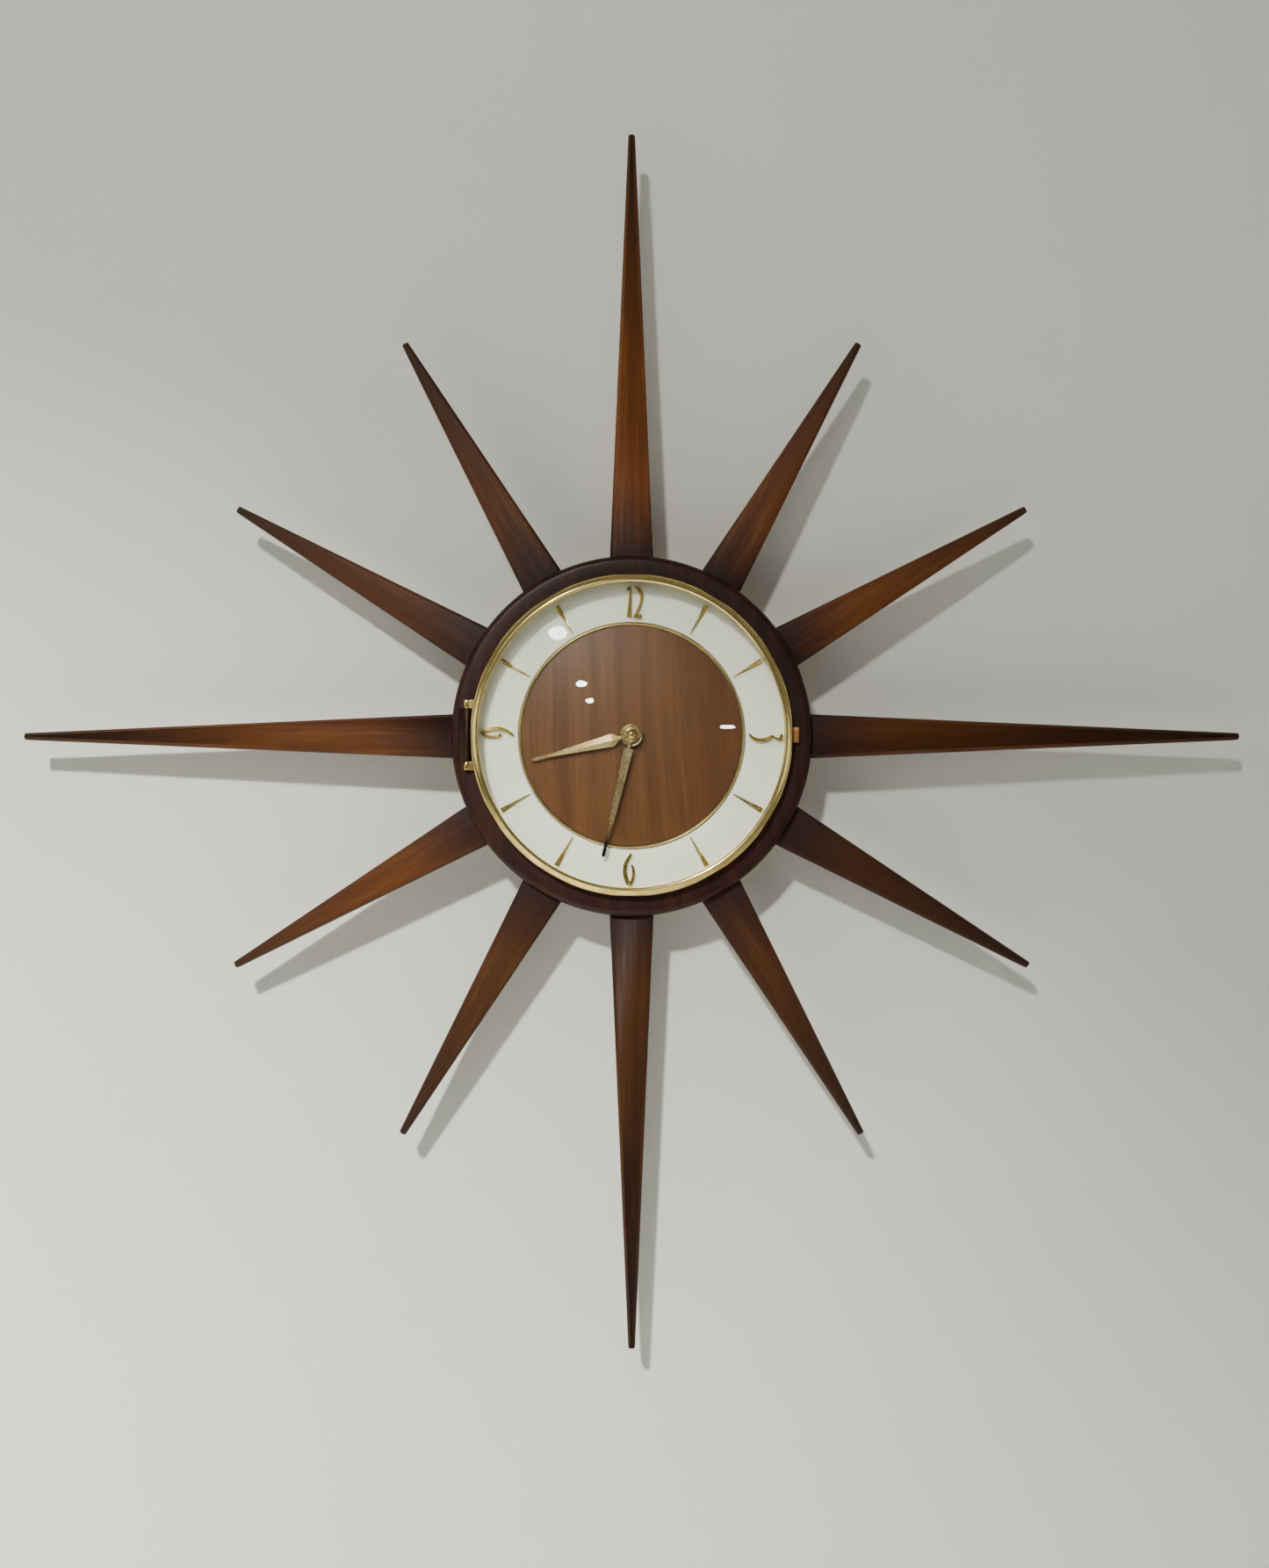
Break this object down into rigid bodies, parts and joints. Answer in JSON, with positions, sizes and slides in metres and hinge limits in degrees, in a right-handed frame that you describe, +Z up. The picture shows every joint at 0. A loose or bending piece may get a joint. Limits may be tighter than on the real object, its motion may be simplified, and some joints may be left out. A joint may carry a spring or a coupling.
{
  "type": "sunburst wall clock",
  "caption": "Wall clock with a turned wooden ring, tapering wooden rays, a hinged glazed brass bezel, raised numerals, gilt hands and a battery movement with a setting knob.",
  "frame": {"origin": "where the hands' axis meets the wall plane, on the flat back of the rear cover", "axes": "+X to the right and +Z up as seen from the front, -Y out of the dial towards the viewer, +Y into the wall"},
  "size_m": [0.68, 0.0479, 0.68],
  "materials": {
    "teak": "oiled teak, satin",
    "dark_wood": "dark stained hardwood, satin lacquer",
    "plywood": "raw plywood",
    "veneer": "walnut veneer, satin lacquer",
    "dial_white": "off-white enamel, semi-gloss",
    "polished_brass": "polished, slightly tarnished",
    "gilt": "gilt, brushed facets",
    "movement_brass": "matt brass",
    "copper": "copper coloured, worn",
    "copper_wire": "enamelled copper winding",
    "steel": "brushed",
    "dark_steel": "browned steel",
    "glass": "clear domed glass",
    "black_plastic": "moulded, fine texture",
    "battery_jacket": "plain printed steel jacket",
    "circuit_board": "phenolic board"
  },
  "bodies": {
    "case": {"case_ring": "dark_wood", "ray_01": "teak", "ray_02": "teak", "ray_03": "teak", "ray_04": "teak", "ray_05": "teak", "ray_06": "teak", "ray_07": "teak", "ray_08": "teak", "ray_09": "teak", "ray_10": "teak", "ray_11": "teak", "ray_12": "teak", "backing_ring": "plywood", "dial_plate": "steel", "chapter_ring": "dial_white", "inset_ring": "polished_brass", "veneer_disc": "veneer", "numeral_12_one": "gilt", "numeral_12_two": "gilt", "numeral_3": "gilt", "numeral_6": "gilt", "numeral_9": "gilt", "hour_marker_01": "gilt", "hour_marker_02": "gilt", "hour_marker_04": "gilt", "hour_marker_05": "gilt", "hour_marker_07": "gilt", "hour_marker_08": "gilt", "hour_marker_10": "gilt", "hour_marker_11": "gilt", "hinge_leaf": "dark_steel", "hinge_pin": "dark_steel", "back_plate": "movement_brass", "front_plate": "movement_brass", "movement_housing": "black_plastic", "dial_nut": "movement_brass", "rear_cover": "black_plastic", "hairspring": "steel", "drive_coil": "copper_wire", "circuit_board": "circuit_board", "battery_cell": "battery_jacket", "battery_cradle": "steel", "hanger_plate": "steel"},
    "bezel": {"bezel_ring": "polished_brass", "bezel_glass": "glass", "thumb_tab": "copper"},
    "minute_hand": {"minute_hand": "gilt", "cap_nut": "polished_brass", "centre_arbor": "movement_brass"},
    "hour_hand": {"hour_hand": "gilt", "hour_wheel": "movement_brass"},
    "minute_wheel": {"minute_wheel": "movement_brass"},
    "setting_knob": {"setting_knob": "black_plastic"},
    "third_wheel": {"third_wheel": "movement_brass"},
    "index_wheel": {"index_wheel": "steel"},
    "balance": {"balance_wheel": "movement_brass"},
    "regulator": {"regulator_lever": "steel"},
    "battery_flap": {"battery_lid": "black_plastic"}
  },
  "joints": [
    {"name": "bezel_door", "type": "hinge", "parent": "case", "child": "bezel", "pos_m": [-0.0906, -0.0424, 0], "axis": [0, 0, -1], "range_deg": [0, 110]},
    {"name": "minute_arbor", "type": "hinge", "parent": "case", "child": "minute_hand", "pos_m": [0, -0.03, 0], "axis": [0, 1, 0], "continuous": true},
    {"name": "hour_pipe", "type": "hinge", "parent": "case", "child": "hour_hand", "pos_m": [0, -0.03, 0], "axis": [0, 1, 0], "continuous": true},
    {"name": "minute_wheel_spin", "type": "hinge", "parent": "case", "child": "minute_wheel", "pos_m": [-0.01, -0.025, 0], "axis": [0, 1, 0], "continuous": true},
    {"name": "setting_turn", "type": "hinge", "parent": "case", "child": "setting_knob", "pos_m": [-0.02, -0.012, 0], "axis": [0, 1, 0], "continuous": true},
    {"name": "third_wheel_spin", "type": "hinge", "parent": "case", "child": "third_wheel", "pos_m": [0.0099, -0.015, 0.0099], "axis": [0, 1, 0], "continuous": true},
    {"name": "index_wheel_spin", "type": "hinge", "parent": "case", "child": "index_wheel", "pos_m": [0.0214, -0.012, 0.0133], "axis": [0, 1, 0], "continuous": true},
    {"name": "balance_swing", "type": "hinge", "parent": "case", "child": "balance", "pos_m": [-0.018, -0.0128, 0.02], "axis": [0, 1, 0], "range_deg": [-120, 120], "stiffness_Nm_per_rad": 0.00005},
    {"name": "regulator_turn", "type": "hinge", "parent": "case", "child": "regulator", "pos_m": [-0.018, -0.0049, 0.02], "axis": [0, 1, 0], "range_deg": [-12, 12]},
    {"name": "battery_flap_hinge", "type": "hinge", "parent": "case", "child": "battery_flap", "pos_m": [0, -0.0004, -0.0427], "axis": [-1, 0, 0], "range_deg": [0, 110]}
  ],
  "couplings": [
    {"joint": "hour_pipe", "follows": "minute_arbor", "ratio": 0.083333},
    {"joint": "minute_wheel_spin", "follows": "minute_arbor", "ratio": -0.33333},
    {"joint": "setting_turn", "follows": "minute_arbor", "ratio": 1},
    {"joint": "third_wheel_spin", "follows": "minute_arbor", "ratio": -6},
    {"joint": "index_wheel_spin", "follows": "minute_arbor", "ratio": 30}
  ]
}
